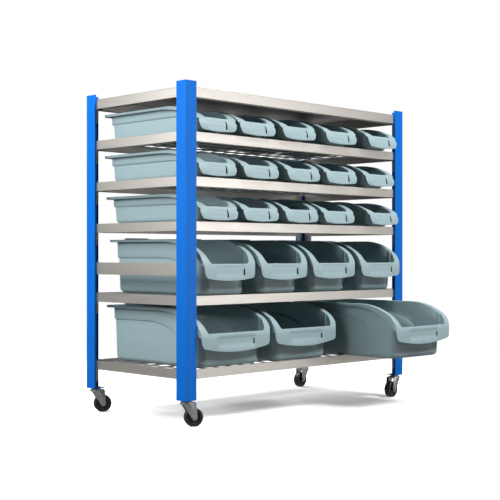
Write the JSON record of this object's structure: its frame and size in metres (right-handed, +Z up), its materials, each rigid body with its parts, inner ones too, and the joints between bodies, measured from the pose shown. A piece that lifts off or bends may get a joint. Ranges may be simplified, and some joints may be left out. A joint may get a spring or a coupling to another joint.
{
  "type": "bin rack",
  "caption": "Wheeled steel shelf rack with open wire shelves carrying rows of sliding plastic storage bins with label fronts, on swivel casters.",
  "frame": {"origin": "on the floor, in the middle of the box around the whole object with its drawn bin", "axes": "+X along the rack's width to the right, -Y towards the side where the bins are drawn out, +Z up"},
  "size_m": [1.219, 0.849, 1.198],
  "materials": {
    "post_blue": "smooth blue powder coat",
    "beam_grey": "pale grey powder coat",
    "zinc_wire": "bright zinc plated wire",
    "bin_plastic": "grey moulded polypropylene with a soft sheen",
    "caster_zinc": "zinc plated stamped steel",
    "caster_black": "black hard rubber"
  },
  "bodies": {
    "root": {"front_left_post": "post_blue", "front_right_post": "post_blue", "rear_left_post": "post_blue", "rear_right_post": "post_blue", "foot_plates": "post_blue", "caster_stems": "caster_zinc", "level_1_long_beams": "beam_grey", "level_2_long_beams": "beam_grey", "level_3_long_beams": "beam_grey", "level_4_long_beams": "beam_grey", "level_5_long_beams": "beam_grey", "top_long_beams": "beam_grey", "level_1_end_beams": "beam_grey", "level_2_end_beams": "beam_grey", "level_3_end_beams": "beam_grey", "level_4_end_beams": "beam_grey", "level_5_end_beams": "beam_grey", "top_end_beams": "beam_grey", "level_1_wire_deck": "zinc_wire", "level_2_wire_deck": "zinc_wire", "level_3_wire_deck": "zinc_wire", "level_4_wire_deck": "zinc_wire", "level_5_wire_deck": "zinc_wire", "top_sheet": "beam_grey", "side_rails": "beam_grey"},
    "front_left_caster": {"front_left_fork": "caster_zinc", "front_left_axle": "caster_zinc"},
    "front_left_roller": {"front_left_wheel": "caster_black"},
    "front_right_caster": {"front_right_fork": "caster_zinc", "front_right_axle": "caster_zinc"},
    "front_right_roller": {"front_right_wheel": "caster_black"},
    "rear_left_caster": {"rear_left_fork": "caster_zinc", "rear_left_axle": "caster_zinc"},
    "rear_left_roller": {"rear_left_wheel": "caster_black"},
    "rear_right_caster": {"rear_right_fork": "caster_zinc", "rear_right_axle": "caster_zinc"},
    "rear_right_roller": {"rear_right_wheel": "caster_black"},
    "large_bin_1_body": {"large_bin_1": "bin_plastic"},
    "large_bin_2_body": {"large_bin_2": "bin_plastic"},
    "large_bin_3_body": {"large_bin_3": "bin_plastic"},
    "medium_bin_1_body": {"medium_bin_1": "bin_plastic"},
    "medium_bin_2_body": {"medium_bin_2": "bin_plastic"},
    "medium_bin_3_body": {"medium_bin_3": "bin_plastic"},
    "medium_bin_4_body": {"medium_bin_4": "bin_plastic"},
    "small_bin_lower_1_body": {"small_bin_lower_1": "bin_plastic"},
    "small_bin_lower_2_body": {"small_bin_lower_2": "bin_plastic"},
    "small_bin_lower_3_body": {"small_bin_lower_3": "bin_plastic"},
    "small_bin_lower_4_body": {"small_bin_lower_4": "bin_plastic"},
    "small_bin_lower_5_body": {"small_bin_lower_5": "bin_plastic"},
    "small_bin_middle_1_body": {"small_bin_middle_1": "bin_plastic"},
    "small_bin_middle_2_body": {"small_bin_middle_2": "bin_plastic"},
    "small_bin_middle_3_body": {"small_bin_middle_3": "bin_plastic"},
    "small_bin_middle_4_body": {"small_bin_middle_4": "bin_plastic"},
    "small_bin_middle_5_body": {"small_bin_middle_5": "bin_plastic"},
    "small_bin_upper_1_body": {"small_bin_upper_1": "bin_plastic"},
    "small_bin_upper_2_body": {"small_bin_upper_2": "bin_plastic"},
    "small_bin_upper_3_body": {"small_bin_upper_3": "bin_plastic"},
    "small_bin_upper_4_body": {"small_bin_upper_4": "bin_plastic"},
    "small_bin_upper_5_body": {"small_bin_upper_5": "bin_plastic"}
  },
  "joints": [
    {"name": "front_left_swivel", "type": "hinge", "parent": "root", "child": "front_left_caster", "pos_m": [-0.5845, -0.1155, 0.085], "axis": [0, 0, 1], "continuous": true},
    {"name": "front_left_spin", "type": "hinge", "parent": "front_left_caster", "child": "front_left_roller", "pos_m": [-0.56222, -0.12685, 0.03275], "axis": [0.454, 0.891, 0], "continuous": true},
    {"name": "front_right_swivel", "type": "hinge", "parent": "root", "child": "front_right_caster", "pos_m": [0.5845, -0.1155, 0.085], "axis": [0, 0, 1], "continuous": true},
    {"name": "front_right_spin", "type": "hinge", "parent": "front_right_caster", "child": "front_right_roller", "pos_m": [0.5596, -0.11768, 0.03275], "axis": [0.0872, -0.9962, 0], "continuous": true},
    {"name": "rear_left_swivel", "type": "hinge", "parent": "root", "child": "rear_left_caster", "pos_m": [-0.5845, 0.3995, 0.085], "axis": [0, 0, 1], "continuous": true},
    {"name": "rear_left_spin", "type": "hinge", "parent": "rear_left_caster", "child": "rear_left_roller", "pos_m": [-0.56222, 0.38815, 0.03275], "axis": [0.454, 0.891, 0], "continuous": true},
    {"name": "rear_right_swivel", "type": "hinge", "parent": "root", "child": "rear_right_caster", "pos_m": [0.5845, 0.3995, 0.085], "axis": [0, 0, 1], "continuous": true},
    {"name": "rear_right_spin", "type": "hinge", "parent": "rear_right_caster", "child": "rear_right_roller", "pos_m": [0.5596, 0.39732, 0.03275], "axis": [0.0872, -0.9962, 0], "continuous": true},
    {"name": "large_bin_1_slide", "type": "slide", "parent": "root", "child": "large_bin_1_body", "axis": [0, -1, 0], "range_m": [0, 0.523]},
    {"name": "large_bin_2_slide", "type": "slide", "parent": "root", "child": "large_bin_2_body", "axis": [0, -1, 0], "range_m": [0, 0.517]},
    {"name": "large_bin_3_slide", "type": "slide", "parent": "root", "child": "large_bin_3_body", "axis": [0, -1, 0], "range_m": [-0.255, 0.261]},
    {"name": "medium_bin_1_slide", "type": "slide", "parent": "root", "child": "medium_bin_1_body", "axis": [0, -1, 0], "range_m": [0, 0.527]},
    {"name": "medium_bin_2_slide", "type": "slide", "parent": "root", "child": "medium_bin_2_body", "axis": [0, -1, 0], "range_m": [0, 0.517]},
    {"name": "medium_bin_3_slide", "type": "slide", "parent": "root", "child": "medium_bin_3_body", "axis": [0, -1, 0], "range_m": [0, 0.515]},
    {"name": "medium_bin_4_slide", "type": "slide", "parent": "root", "child": "medium_bin_4_body", "axis": [0, -1, 0], "range_m": [0, 0.515]},
    {"name": "small_bin_lower_1_slide", "type": "slide", "parent": "root", "child": "small_bin_lower_1_body", "axis": [0, -1, 0], "range_m": [0, 0.537]},
    {"name": "small_bin_lower_2_slide", "type": "slide", "parent": "root", "child": "small_bin_lower_2_body", "axis": [0, -1, 0], "range_m": [0, 0.531]},
    {"name": "small_bin_lower_3_slide", "type": "slide", "parent": "root", "child": "small_bin_lower_3_body", "axis": [0, -1, 0], "range_m": [0, 0.525]},
    {"name": "small_bin_lower_4_slide", "type": "slide", "parent": "root", "child": "small_bin_lower_4_body", "axis": [0, -1, 0], "range_m": [0, 0.519]},
    {"name": "small_bin_lower_5_slide", "type": "slide", "parent": "root", "child": "small_bin_lower_5_body", "axis": [0, -1, 0], "range_m": [0, 0.515]},
    {"name": "small_bin_middle_1_slide", "type": "slide", "parent": "root", "child": "small_bin_middle_1_body", "axis": [0, -1, 0], "range_m": [0, 0.537]},
    {"name": "small_bin_middle_2_slide", "type": "slide", "parent": "root", "child": "small_bin_middle_2_body", "axis": [0, -1, 0], "range_m": [0, 0.531]},
    {"name": "small_bin_middle_3_slide", "type": "slide", "parent": "root", "child": "small_bin_middle_3_body", "axis": [0, -1, 0], "range_m": [0, 0.525]},
    {"name": "small_bin_middle_4_slide", "type": "slide", "parent": "root", "child": "small_bin_middle_4_body", "axis": [0, -1, 0], "range_m": [0, 0.519]},
    {"name": "small_bin_middle_5_slide", "type": "slide", "parent": "root", "child": "small_bin_middle_5_body", "axis": [0, -1, 0], "range_m": [0, 0.515]},
    {"name": "small_bin_upper_1_slide", "type": "slide", "parent": "root", "child": "small_bin_upper_1_body", "axis": [0, -1, 0], "range_m": [0, 0.537]},
    {"name": "small_bin_upper_2_slide", "type": "slide", "parent": "root", "child": "small_bin_upper_2_body", "axis": [0, -1, 0], "range_m": [0, 0.531]},
    {"name": "small_bin_upper_3_slide", "type": "slide", "parent": "root", "child": "small_bin_upper_3_body", "axis": [0, -1, 0], "range_m": [0, 0.525]},
    {"name": "small_bin_upper_4_slide", "type": "slide", "parent": "root", "child": "small_bin_upper_4_body", "axis": [0, -1, 0], "range_m": [0, 0.519]},
    {"name": "small_bin_upper_5_slide", "type": "slide", "parent": "root", "child": "small_bin_upper_5_body", "axis": [0, -1, 0], "range_m": [0, 0.515]}
  ]
}
